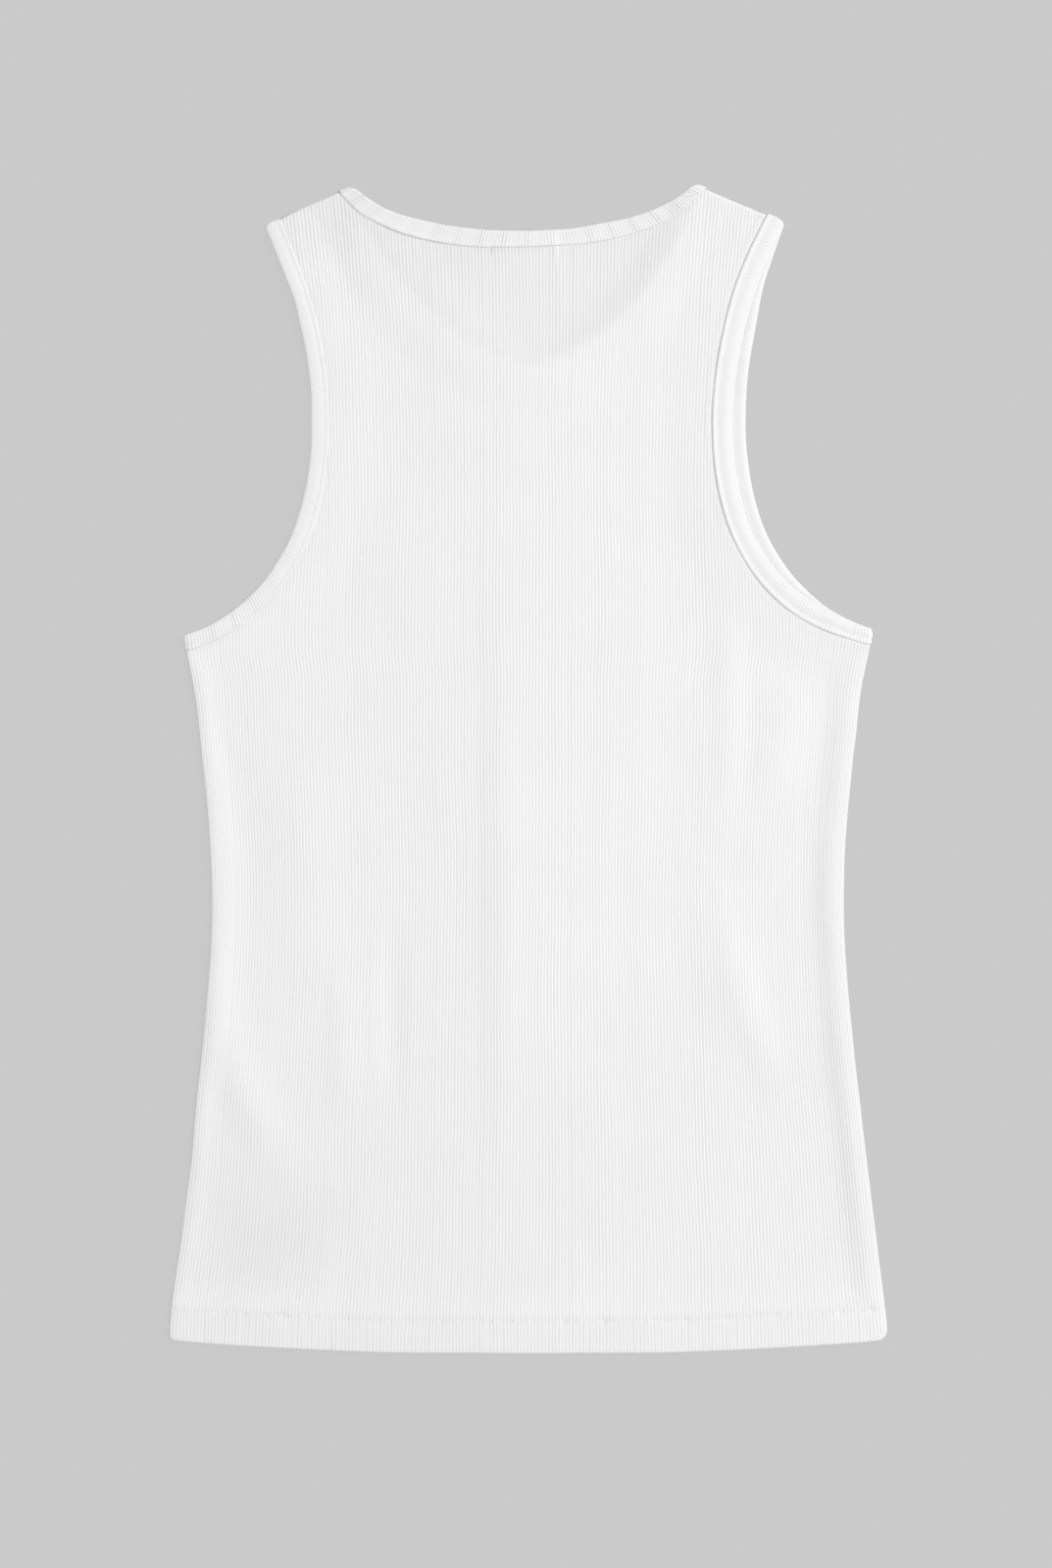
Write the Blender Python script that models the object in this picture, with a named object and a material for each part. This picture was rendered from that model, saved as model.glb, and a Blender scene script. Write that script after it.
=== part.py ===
"""Rib-knit tank top lying flat, back side up, +Y towards the neck and the floor at z = 0.

The front panel lies on the floor, the back panel lies on it, and three folded rib bands
(one round the neck, one round each armhole) run along the back edge, turn over at the
shoulder and at the side, and come back along the front edge underneath.
"""

import math

import bmesh
import bpy
from mathutils import Vector

MM = 0.001

# Cloth
WALL = 1.0 * MM  # cloth between the ribs
RIB_HEIGHT = 0.35 * MM
RIBS = 208  # across the back, all running from the hem up
FRONT_WALL = 1.2 * MM
HEM_WALL = 2.2 * MM  # cloth turned up once inside
HEM_DEPTH = 18 * MM
HEM_RUN = 16 * MM  # above the stitch line the hem thins out over this
SEAM_GAP = 0.3 * MM
LAYER_GAP = 0.3 * MM

# Levels of the back's underside
REST_BODY = FRONT_WALL + LAYER_GAP
BAND_THICK = 2.2 * MM
REST_BANDS = BAND_THICK + LAYER_GAP  # over the front's bands and over its hem

TURN_RADIUS = REST_BANDS / 2  # where a band turns over from the back to the front
TURN_REACH = TURN_RADIUS + BAND_THICK / 2
TURN_PROUD = 1 * MM  # the turn sticks out this far past the shoulder line or the side
TURN_CLEAR = 0.05  # share of its width by which the turn is narrower
NECK_CORNER = 5.5 * MM  # radii of the bands' corners where they turn over
TIP_CORNER = 5 * MM
UNDERARM_CORNER = 2 * MM

# Outline, from the centre of the garment's box, right half
HEM_Y = -328 * MM  # lowest point, at the middle
HEM_RISE = 8 * MM  # the corners sit this much higher
HEM_CORNER = 5 * MM  # radius
TOP_Y = 340 * MM  # the cloth is cut out of a sheet that ends here
TOP_HALF = 197 * MM
NECK_SHIFT = -3.2 * MM  # the neck lies this far to the left
TIP_SHIFT = -1.2 * MM  # and so do the shoulders' tips
SHIFT_FROM_Y = 195 * MM
TOP_TILT = 0.0095  # and the top is turned: its left side lies lower
TILT_FROM_Y = 20 * MM
TILT_RUN = 60 * MM

NECK_POINT = (96 * MM, 327.9 * MM)  # finished corner of the neck at the shoulder
SHOULDER_TIP = (145.6 * MM, 305.9 * MM)
UNDERARM = (192.9 * MM, 77 * MM)
NECK_BAND = 9.3 * MM  # widths of the bindings, from the seam to the finished edge
LEFT_BAND = 10.3 * MM
RIGHT_BAND = 12 * MM

BACK_NECK_LOW = 301.6 * MM  # back neckline: part of an ellipse
BACK_NECK_HALF = 103.4 * MM
BACK_NECK_RISE = 42 * MM
FRONT_NECK_LOW = 228.5 * MM  # front neckline: a deep scoop
SCOOP_SHOULDER_PULL = (90.8 * MM, 292 * MM)
SCOOP_BOTTOM_PULL = 38.5 * MM

# An armhole's edge: where it comes in furthest, and the pulls of its curves at the shoulder,
# above and below that place, and at the underarm
ARMHOLE_WIDE = (  # on the layer that shows most
    (121.8 * MM, 197 * MM),
    (-12.6 * MM, -30 * MM),
    42 * MM,
    62 * MM,
    (-47 * MM, 15.7 * MM),
)
ARMHOLE_NARROW = (  # on the layer that lies skewed under or over it
    (114.6 * MM, 193.4 * MM),
    (-4.3 * MM, -10.5 * MM),
    60.8 * MM,
    86.6 * MM,
    (-29.4 * MM, 9.9 * MM),
)

# Side seam: half the width of the body at each height
SIDE = (
    # height, half width
    (-320 * MM, 201.5 * MM),  # hem corner
    (-300 * MM, 199.5 * MM),
    (-230 * MM, 190.4 * MM),  # hip
    (-150 * MM, 182.0 * MM),
    (-74 * MM, 177.3 * MM),  # waist
    (20 * MM, 183.2 * MM),
    (46 * MM, 186.8 * MM),
    (66 * MM, 191.8 * MM),  # under the arm
)

# Soft folds of the back, from one end to the other
FOLDS = (
    # x from, y from, x to, y to, width, height
    (-18 * MM, 60 * MM, -16 * MM, -200 * MM, 26 * MM, 1.3 * MM),
    (-60 * MM, -40 * MM, -61 * MM, -190 * MM, 24 * MM, 0.9 * MM),
    (-99 * MM, -60 * MM, -98 * MM, -200 * MM, 24 * MM, 0.9 * MM),
    (-168 * MM, 30 * MM, -122 * MM, -235 * MM, 30 * MM, 1.5 * MM),
    (116 * MM, 20 * MM, 156 * MM, -205 * MM, 28 * MM, 1.4 * MM),
)

# Rows of the woven grid, as heights at the side edge
ROWS = (-320, -315, -302, -286, -225, -165, -105, -45, 12, 66)
INNER_COLUMNS = 24
FRONT_COLUMNS = 16
CURVE_STEPS = 20
FOLD_STEPS = 5
BACK_STATIONS = 48
FRONT_STATIONS = 48

WHITE = (0.86, 0.86, 0.85, 1.0)


def smooth(t):
    t = min(max(t, 0.0), 1.0)
    return t * t * (3 - 2 * t)


def lean(x, y):
    """The upper part lies a little to the left of the hem, and slightly turned."""
    outward = smooth((abs(x) - NECK_POINT[0]) / (SHOULDER_TIP[0] - NECK_POINT[0]))
    shift = NECK_SHIFT + (TIP_SHIFT - NECK_SHIFT) * outward
    shift *= smooth((y - SHIFT_FROM_Y) / (TOP_Y - SHIFT_FROM_Y))
    tilt = TOP_TILT * smooth((y - TILT_FROM_Y) / TILT_RUN)
    return x + shift, y + tilt * x


def bezier(start, pull, back_pull, end, steps=CURVE_STEPS):
    points = []
    for i in range(steps + 1):
        t = i / steps
        a, b, c, d = (1 - t) ** 3, 3 * t * (1 - t) ** 2, 3 * t * t * (1 - t), t**3
        points.append(
            tuple(a * p + b * q + c * r + d * s for p, q, r, s in zip(start, pull, back_pull, end))
        )
    return points


def mirrored(points):
    return [(-x, y) for x, y in reversed(points)]


def half_width(y):
    """Half the body's width at a height, rounded off at the hem's corners."""
    near = max(1 - (y - (HEM_Y + HEM_RISE)) / HEM_CORNER, 0.0)
    return side_width(y) - HEM_CORNER * (1 - math.sqrt(1 - 0.95 * near * near))


def side_width(y):
    """Half the width between the side seams: a smooth curve through the side's rows."""
    if y >= SIDE[-1][0]:
        return SIDE[-1][1] + (TOP_HALF - SIDE[-1][1]) * (y - SIDE[-1][0]) / (TOP_Y - SIDE[-1][0])
    i = max(k for k in range(len(SIDE) - 1) if SIDE[k][0] <= max(y, SIDE[0][0]))
    y0, w0 = SIDE[i]
    y1, w1 = SIDE[i + 1]
    before = SIDE[max(i - 1, 0)]
    after = SIDE[min(i + 2, len(SIDE) - 1)]
    slope0 = (w1 - before[1]) / (y1 - before[0])
    slope1 = (after[1] - w0) / (after[0] - y0)
    t = (y - y0) / (y1 - y0)
    run = y1 - y0
    return (
        w0 * (2 * t**3 - 3 * t**2 + 1)
        + slope0 * run * (t**3 - 2 * t**2 + t)
        + w1 * (3 * t**2 - 2 * t**3)
        + slope1 * run * (t**3 - t**2)
    )


def armhole_edge(shape):
    """Finished edge of the right armhole, from the shoulder tip down to the underarm."""
    turn, shoulder_pull, pull_up, pull_down, underarm_pull = shape
    tip, under = SHOULDER_TIP, UNDERARM
    upper = bezier(
        tip,
        (tip[0] + shoulder_pull[0], tip[1] + shoulder_pull[1]),
        (turn[0], turn[1] + pull_up),
        turn,
    )
    lower = bezier(
        turn,
        (turn[0], turn[1] - pull_down),
        (under[0] + underarm_pull[0], under[1] + underarm_pull[1]),
        under,
    )
    return upper + lower[1:]


def back_neck_edge():
    """Finished edge of the back neck, from left to right."""
    corner_angle = math.asin(NECK_POINT[0] / BACK_NECK_HALF)
    points = []
    for i in range(2 * CURVE_STEPS + 1):
        angle = corner_angle * (i / CURVE_STEPS - 1)
        points.append(
            (
                BACK_NECK_HALF * math.sin(angle),
                BACK_NECK_LOW + BACK_NECK_RISE * (1 - math.cos(angle)),
            )
        )
    return points


def front_neck_edge():
    half = bezier(
        (0, FRONT_NECK_LOW),
        (SCOOP_BOTTOM_PULL, FRONT_NECK_LOW),
        SCOOP_SHOULDER_PULL,
        NECK_POINT,
    )
    return mirrored(half)[:-1] + half


def offset(points, distance, end_distance=None):
    """The line moved to its right-hand side, with another distance near its last point."""
    moved = []
    middle = distance
    for i, (x, y) in enumerate(points):
        if end_distance is not None:
            near_end = smooth((i / (len(points) - 1) - BAND_TAPER) / (1 - BAND_TAPER))
            distance = middle + (end_distance - middle) * near_end
        x0, y0 = points[max(i - 1, 0)]
        x1, y1 = points[min(i + 1, len(points) - 1)]
        run = math.hypot(x1 - x0, y1 - y0)
        moved.append((x + distance * (y1 - y0) / run, y - distance * (x1 - x0) / run))
    return moved


def along_shoulder(from_neck):
    """Point on the right shoulder line, at a distance from the neck point."""
    x0, y0 = NECK_POINT
    x1, y1 = SHOULDER_TIP
    share = from_neck / math.hypot(x1 - x0, y1 - y0)
    return (x0 + share * (x1 - x0), y0 + share * (y1 - y0))


SHOULDER_LENGTH = math.dist(NECK_POINT, SHOULDER_TIP)
NECK_SEAM_END = along_shoulder(NECK_BAND * 1.02)
UNDERARM_SEAM_END = (191.8 * MM, 67.4 * MM)
BAND_TAPER = 0.8  # share of an armhole after which its band narrows towards the side seam


def neck_seam(edge):
    """Panel's edge below a neck edge that runs left to right, ending on the shoulder lines."""
    left_end = (-NECK_SEAM_END[0], NECK_SEAM_END[1])
    return [left_end] + offset(edge, NECK_BAND)[1:-1] + [NECK_SEAM_END]


def armhole_seam(edge, width):
    """Panel's edge inside a right armhole edge, from the shoulder line to the side."""
    start = along_shoulder(SHOULDER_LENGTH - width)
    inner = offset(edge, width, math.dist(UNDERARM, UNDERARM_SEAM_END))[1:-1]
    return [start] + inner + [UNDERARM_SEAM_END]


def sewn_side(panel_edge):
    """A band's own side of the seam, with a panel's edge beside it."""
    return offset(panel_edge, -SEAM_GAP)


def resampled(points, count):
    """The line again, with equal steps."""
    lengths = [0.0]
    for a, b in zip(points, points[1:]):
        lengths.append(lengths[-1] + math.hypot(b[0] - a[0], b[1] - a[1]))
    found = []
    k = 0
    for i in range(count):
        at = lengths[-1] * i / (count - 1)
        while k < len(points) - 2 and lengths[k + 1] < at:
            k += 1
        share = (at - lengths[k]) / (lengths[k + 1] - lengths[k])
        found.append(
            tuple(p + share * (q - p) for p, q in zip(points[k], points[k + 1]))
        )
    return found


def fold_height(x, y):
    """How far the soft folds lift the back at a point."""
    lift = 0.0
    for x0, y0, x1, y1, width, height in FOLDS:
        dx, dy = x1 - x0, y1 - y0
        share = ((x - x0) * dx + (y - y0) * dy) / (dx * dx + dy * dy)
        if not 0 < share < 1:
            continue
        away = abs((x - x0) * dy - (y - y0) * dx) / math.hypot(dx, dy)
        across = smooth(1 - away / width)
        lift += height * across * math.sin(math.pi * share)
    return lift


def hem_share(y):
    """1 in the hem, falling to 0 above its stitch line."""
    return 1 - smooth((y - (HEM_Y + HEM_RISE + HEM_DEPTH)) / HEM_RUN)


def rest_height(y):
    """Level of the back's underside before the folds."""
    hem = REST_BODY + (REST_BANDS - REST_BODY) * hem_share(y)
    under_arm = SIDE[-1][0]
    return hem + (REST_BANDS - REST_BODY) * smooth((y - under_arm + 51 * MM) / (51 * MM))


def new_object(name, mesh, collection):
    made = bpy.data.objects.new(name, mesh)
    collection.objects.link(made)
    return made


def loft(name, sections, collection):
    """A closed solid through rows of cloth. Each row is (lower, upper), both from left to right."""
    mesh = bmesh.new()
    rows = [[[mesh.verts.new(p) for p in side] for side in section] for section in sections]
    rings = [lower + upper[::-1] for lower, upper in rows]
    for low, high in zip(rings, rings[1:]):
        for i in range(len(low)):
            k = (i + 1) % len(low)
            mesh.faces.new((low[i], low[k], high[k], high[i]))
    for lower, upper in (rows[0], rows[-1]):
        i = k = 0
        while i < len(lower) - 1 or k < len(upper) - 1:
            ahead = k == len(upper) - 1 or (
                i < len(lower) - 1 and lower[i + 1].co.x <= upper[k + 1].co.x
            )
            following = lower[i + 1] if ahead else upper[k + 1]
            mesh.faces.new((lower[i], following, upper[k]))
            i, k = (i + 1, k) if ahead else (i, k + 1)
    bmesh.ops.triangulate(mesh, faces=mesh.faces, quad_method="SHORT_EDGE")
    bmesh.ops.recalc_face_normals(mesh, faces=mesh.faces)
    made = bpy.data.meshes.new(name)
    mesh.to_mesh(made)
    mesh.free()
    return new_object(name, made, collection)


def row_point(share, row):
    """Plan position on a row of the cloth's grid; rows near the hem bend with it."""
    half = half_width(row)
    bend = smooth(1 - (row - ROWS[0] * MM) / (150 * MM))
    y = row - HEM_RISE * bend * (1 - share * share)
    return lean(share * half, y)


def back_section(row):
    """One row of the back: ribs on the outside, plain inside, edges rolled down."""
    columns = 2 * RIBS
    wall = WALL + (HEM_WALL - WALL) * hem_share(row)
    outer = []
    for i in range(columns + 1):
        x, y = row_point(2 * i / columns - 1, row)
        rib = RIB_HEIGHT * (i % 2)
        roll = (0.35, 0.85)[min(i, columns - i)] if min(i, columns - i) < 2 else 1.0
        z = rest_height(row) + fold_height(x, y) + (wall + rib) * roll
        outer.append((x, y, z))
    inner = []
    for i in range(INNER_COLUMNS + 1):
        x, y = row_point(2 * i / INNER_COLUMNS - 1, row)
        inner.append((x, y, rest_height(row) + fold_height(x, y)))
    return inner, outer


def front_section(row):
    """One row of the front: flat underneath, its edges rounded up to the side seam."""
    wall = FRONT_WALL + (HEM_WALL - FRONT_WALL) * hem_share(row)
    edge_roll = 1.2 * MM / half_width(row)
    shares = [2 * i / FRONT_COLUMNS - 1 for i in range(FRONT_COLUMNS + 1)]
    upper = [(*row_point(s, row), wall) for s in shares]
    inset = [-1 + edge_roll] + shares[1:-1] + [1 - edge_roll]
    lower = [(*row_point(s, row), 0.0) for s in inset]
    left, right = (row_point(s, row) for s in (-1, 1))
    return [(*left, 0.4 * wall)] + lower + [(*right, 0.4 * wall)], upper


def cutter(name, outline, collection):
    """A prism on a plan outline, tall enough to cut through the garment."""
    curve = bpy.data.curves.new(name, "CURVE")
    curve.dimensions = "2D"
    curve.fill_mode = "BOTH"
    curve.extrude = 20 * MM
    spline = curve.splines.new("POLY")
    spline.points.add(len(outline) - 1)
    for point, (x, y) in zip(spline.points, outline):
        point.co = (x, y, 0, 1)
    spline.use_cyclic_u = True
    drawn = new_object(name + "_outline", curve, collection)
    bpy.context.view_layer.update()
    graph = bpy.context.evaluated_depsgraph_get()
    solid = bpy.data.meshes.new_from_object(drawn.evaluated_get(graph))
    mesh = bmesh.new()
    mesh.from_mesh(solid)
    bmesh.ops.remove_doubles(mesh, verts=mesh.verts, dist=0.01 * MM)
    bmesh.ops.recalc_face_normals(mesh, faces=mesh.faces)
    mesh.to_mesh(solid)
    mesh.free()
    made = new_object(name, solid, collection)
    bpy.data.objects.remove(drawn)
    made.hide_render = True
    made.display_type = "WIRE"
    return made


def top_outline(neck, left_armhole, right_armhole):
    """Everything above the panel: armhole seams, shoulder lines and neck seam."""
    outside = 260 * MM
    left = mirrored(left_armhole)
    line = left + neck + right_armhole
    line = [lean(x, y) for x, y in line]
    above = [(outside, 420 * MM), (-outside, 420 * MM)]
    return [(-outside, left[0][1]), *line, (outside, right_armhole[-1][1]), *above]


def cut(target, tool):
    trim = target.modifiers.new("top_edge", "BOOLEAN")
    trim.operation = "DIFFERENCE"
    trim.solver = "EXACT"
    trim.object = tool


def band_section(seam, edge, normal, thick):
    """Points round one cross-section of a band, flat but for its folded outer edge."""
    width = edge - seam
    half = thick / 2
    fold = half / width.length
    shape = (
        # share of the width, share of half the thickness
        (0.0, -1.0),
        (1 - 1.1 * fold, -1.0),
        (1 - 0.35 * fold, -0.72),
        (1.0, 0.0),
        (1 - 0.35 * fold, 0.72),
        (1 - 1.1 * fold, 1.0),
        (0.0, 1.0),
    )
    return [seam + width * s + normal * (half * n) for s, n in shape]


UP = Vector((0, 0, 1))


def trimmed_rails(lines, level, count):
    """A band's sewn and outer side at a level, cut short at both ends by the turn that follows,
    and the directions in which the turns stick out."""
    rails = [[Vector((*lean(x, y), level)) for x, y in resampled(line, count)] for line in lines]
    ends = []
    for k, beside in ((0, 1), (-1, -2)):
        along = [(rail[k] - rail[beside]).normalized() for rail in rails]
        away = (rails[1][k] - rails[0][k]).cross(UP).normalized()
        away *= math.copysign(1, away.dot(along[0]))
        ends.append(away)
        for rail, step in zip(rails, along):
            rail[k] = rail[k] - step * ((TURN_REACH - TURN_PROUD) / step.dot(away))
    return rails, ends


def pulled_in(seam_point, edge_point, to_end, corner):
    """The outer edge near a band's end, drawn in so that the corner is round."""
    near = max(1 - to_end / corner, 0.0)
    across = seam_point - edge_point
    return edge_point + across.normalized() * corner * (1 - math.sqrt(1 - near * near))


def band(name, layers, corners, collection):
    """A folded band as a closed ring. layers holds (edge, seam) for the back and the front,
    both running the same way; the ring turns over at their common ends, with corners of
    these radii."""
    half = BAND_THICK / 2
    middle = REST_BANDS / 2 + half
    (edge, seam), (front_edge, front_seam) = layers
    back = trimmed_rails((seam, edge), REST_BANDS + half, BACK_STATIONS)
    front = trimmed_rails((front_seam[::-1], front_edge[::-1]), half, FRONT_STATIONS)
    sections = []
    for (rails, ends), (next_rails, next_ends), side in ((back, front, 1), (front, back, -1)):
        first, last = corners[::side]
        rails[1][0] = pulled_in(rails[0][0], rails[1][0], TURN_REACH, first)
        rails[1][-1] = pulled_in(rails[0][-1], rails[1][-1], TURN_REACH, last)
    for (rails, ends), (next_rails, next_ends), side in ((back, front, 1), (front, back, -1)):
        for seam_point, edge_point in zip(*rails):
            sections.append(band_section(seam_point, edge_point, UP * side, BAND_THICK))
        for i in range(1, FOLD_STEPS):
            share = i / FOLD_STEPS
            angle = math.pi * (0.5 - share) * side
            out = ends[1].lerp(next_ends[0], share).normalized() * math.cos(angle)
            out += UP * math.sin(angle)
            centres = []
            for rail, next_rail in zip(rails, next_rails):
                x, y = rail[-1].xy.lerp(next_rail[0].xy, share)
                centres.append(Vector((x, y, middle)) + out * TURN_RADIUS)
            centres[0] = centres[0].lerp(centres[1], TURN_CLEAR)
            to_end = TURN_REACH * (1 - math.cos(angle))
            centres[1] = pulled_in(*centres, to_end, corners[::side][1])
            sections.append(band_section(*centres, out, BAND_THICK))
    mesh = bmesh.new()
    rings = [[mesh.verts.new(p) for p in section] for section in sections]
    count = len(rings[0])
    for ring, following in zip(rings, rings[1:] + rings[:1]):
        for i in range(count):
            k = (i + 1) % count
            mesh.faces.new((ring[i], ring[k], following[k], following[i]))
    bmesh.ops.recalc_face_normals(mesh, faces=mesh.faces)
    made = bpy.data.meshes.new(name)
    mesh.to_mesh(made)
    mesh.free()
    return new_object(name, made, collection)


def cotton(name, roughness):
    """Matt white cotton."""
    material = bpy.data.materials.new(name)
    material.use_nodes = True
    shader = material.node_tree.nodes["Principled BSDF"]
    shader.inputs["Base Color"].default_value = WHITE
    shader.inputs["Roughness"].default_value = roughness
    shader.inputs["Metallic"].default_value = 0.0
    return material


def main():
    for old in list(bpy.data.objects):
        bpy.data.objects.remove(old)
    garment = bpy.data.collections.new("tank_top")
    tools = bpy.data.collections.new("cutters")
    for collection in (garment, tools):
        bpy.context.scene.collection.children.link(collection)

    rows = [row * MM for row in ROWS] + [TOP_Y]
    wide, narrow = armhole_edge(ARMHOLE_WIDE), armhole_edge(ARMHOLE_NARROW)
    back_neck, front_neck = back_neck_edge(), front_neck_edge()

    back = loft("back_panel", [back_section(row) for row in rows], garment)
    left_seam, right_seam = armhole_seam(wide, LEFT_BAND), armhole_seam(narrow, RIGHT_BAND)
    outline = top_outline(neck_seam(back_neck), left_seam, right_seam)
    cut(back, cutter("back_top_cutter", outline, tools))

    front = loft("front_panel", [front_section(row) for row in rows], garment)
    left_seam, right_seam = armhole_seam(narrow, LEFT_BAND), armhole_seam(wide, RIGHT_BAND)
    outline = top_outline(neck_seam(front_neck), left_seam, right_seam)
    cut(front, cutter("front_top_cutter", outline, tools))

    neck_layers = [(e, sewn_side(neck_seam(e))) for e in (back_neck, front_neck)]
    neck = band("neck_band", neck_layers, (NECK_CORNER, NECK_CORNER), garment)

    right_layers = [(e, sewn_side(armhole_seam(e, RIGHT_BAND))) for e in (narrow, wide)]
    right = band("armhole_band_right", right_layers, (TIP_CORNER, UNDERARM_CORNER), garment)

    left_layers = [
        (mirrored(e), mirrored(sewn_side(armhole_seam(e, LEFT_BAND)))) for e in (wide, narrow)
    ]
    left = band("armhole_band_left", left_layers, (UNDERARM_CORNER, TIP_CORNER), garment)

    body_cloth = cotton("rib_cotton", 0.85)
    band_cloth = cotton("rib_band_cotton", 0.8)
    for piece in (back, front):
        piece.data.materials.append(body_cloth)
    for piece in (neck, left, right):
        piece.data.materials.append(band_cloth)
        piece.data.shade_smooth()
        piece.data.set_sharp_from_angle(angle=math.radians(40))


main()
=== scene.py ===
"""Looks of a white rib-knit tank top that lies flat on its front, back side up.

+X is the right-hand side seen from above, +Y runs from the hem to the neck.
"""

import math

import bpy
import numpy as np
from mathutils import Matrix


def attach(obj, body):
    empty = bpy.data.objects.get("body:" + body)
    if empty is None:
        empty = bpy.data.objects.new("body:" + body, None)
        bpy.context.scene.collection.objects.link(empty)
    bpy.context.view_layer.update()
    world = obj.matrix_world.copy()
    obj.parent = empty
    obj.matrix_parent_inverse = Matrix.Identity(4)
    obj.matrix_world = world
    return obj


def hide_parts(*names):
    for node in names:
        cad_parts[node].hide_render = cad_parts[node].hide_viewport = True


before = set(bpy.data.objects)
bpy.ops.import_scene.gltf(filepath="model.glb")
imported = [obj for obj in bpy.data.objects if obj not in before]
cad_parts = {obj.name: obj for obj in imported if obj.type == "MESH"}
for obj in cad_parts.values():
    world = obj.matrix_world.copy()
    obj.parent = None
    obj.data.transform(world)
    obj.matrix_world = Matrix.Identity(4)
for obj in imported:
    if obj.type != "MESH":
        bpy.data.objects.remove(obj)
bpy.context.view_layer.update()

MM = 0.001
UV_SCALE = 0.01  # the cloth's ribs and millimetres, kept small in its UVs
RIBS = 208
RIB_STEPS = 4  # mesh columns for each rib
RIB_DEPTH = 0.285
RIB_SPAN = 197.0  # half width of the body at which its ribs lie evenly
RIB_UPRIGHT = 0.38  # share of the sides' slant that the ribs in the middle don't follow
WALL = 1.35  # cloth with its ribs
HEM_WALL = 2.35
HEM_RISE = 8.0  # the hem's corners sit this much higher than its middle
HEM_CORNER = 4.5, 7.0  # radius of its left and right corner
HEM_ROW, STITCH_ROW, HEM_RUN = -320.0, -302.0, 16.0
TOP_Y = 340.0
NECK_SHIFT, TIP_SHIFT, SHIFT_FROM_Y = -3.2, -1.2, 195.0
TOP_TILT, TILT_FROM_Y, TILT_RUN = 0.0095, 20.0, 60.0
SHOULDER_BULGE = 0.6, -0.9  # left, right
TIP_SPREAD, ARM_SPREAD = 1.7, 0.8  # the left shoulder's tip and the right armhole lie further out
NECK_POINT, SHOULDER_TIP, UNDERARM = (96.0, 327.9), (145.6, 305.9), (192.9, 77.0)
UNDERARM_SEAM_END = (191.8, 67.4)
NECK_BAND, LEFT_BAND, RIGHT_BAND, BAND_TAPER = 9.3, 10.3, 12.0, 0.8
BAND_THICK, SEAM_GAP = 2.2, 0.3
BACK_NECK_LOW, BACK_NECK_HALF, BACK_NECK_RISE = 301.6, 103.4, 42.0
FRONT_NECK_LOW, SCOOP_SHOULDER_PULL, SCOOP_BOTTOM_PULL = 228.5, (90.8, 292.0), 38.5
# An armhole's edge: where it comes in furthest, and the pulls of its curves at the shoulder,
# above and below that place, and at the underarm
ARMHOLE_WIDE = (121.8, 197.0), (-12.6, -30.0), 42.0, 62.0, (-47.0, 15.7)
ARMHOLE_NARROW = (114.6, 193.4), (-4.3, -10.5), 60.8, 86.6, (-29.4, 9.9)
TURN_Y = 197.0  # the armholes come in furthest here
REST_BODY, REST_BANDS = 1.5, 2.5  # where the back lies, over the front and over its bands
TURN_RADIUS = REST_BANDS / 2  # of a band's middle where it turns over to the front
TURN_REACH = TURN_RADIUS + BAND_THICK / 2
TURN_PROUD = 1.0  # how far the turn sticks out past the shoulder line or the side
TURN_CLEAR = 0.05  # share of its width by which the turn is narrower
NECK_CORNER, TIP_CORNER, LEFT_TIP_CORNER, UNDERARM_CORNER = 5.5, 5.0, 3.8, 2.0
TUCK = 1.2  # how far a panel's edge goes into the mouth of its band
BAND_PITCH = 1.8
SEAM_DEPTH = 0.05, 0.38, 0.0  # how deep the neck's, the right and the left armhole's seam is
SEAM_RIDGE = 0.15, 0.28, 0.0  # how high the cloth stands beside it
HEM_LEAN, HEM_LEAN_FROM = 0.8, -262.0  # how far left the ribs lean below this height
TACK_TICK, TACK_PUCKER = (-20.9, 291.9), (15.4, 293.0)
# Places along the hem where its stitches pull harder, and how much
HEM_DIMPLES = (
    (-137, 0.4), (-104, 0.3), (-68, 0.4), (-13, 0.35), (20, 0.4), (42, 0.6), (88, 0.4),
    (112, 0.3), (138, 0.4), (174, 0.45), (192, 0.55),
)  # fmt: skip

# Half width of the body at each height; above the underarm, how far out the ribs fan there
SIDE = np.array(
    [
        (-320, 201.5),  # hem
        (-300, 199.5),
        (-230, 190.4),
        (-150, 182.0),
        (-74, 177.3),  # waist
        (20, 183.2),
        (46, 186.8),
        (66, 191.8),  # under the arm
        (96, 191.2),
        (140, 188.8),
        (180, 189.0),
        (222, 191.6),
        (266, 195.4),
        (305, 201.2),
        (TOP_Y, 208.0),
    ]
)

# How far out the sides lie beyond that in places, by height
LEFT_OUT = (
    (-328, 0.9), (-298, 1.2), (-255, 0.4), (-225, 0.4), (-185, 1.4), (-150, 1.0), (-100, 0.8),
    (-30, 0.9), (25, 1.9), (45, 1.6), (62, 0.2), (75, 0.0), (TOP_Y, 0.0),
)  # fmt: skip
RIGHT_OUT = (
    (-328, 0.5), (-290, 0.4), (-240, 0.85), (-190, 0.6), (-155, 0.0), (-130, -0.3), (-70, -0.3),
    (-40, -0.6), (0, 0.0), (24, 0.8), (45, 0.3), (62, -0.6), (75, 0.0), (TOP_Y, 0.0),
)  # fmt: skip

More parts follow.
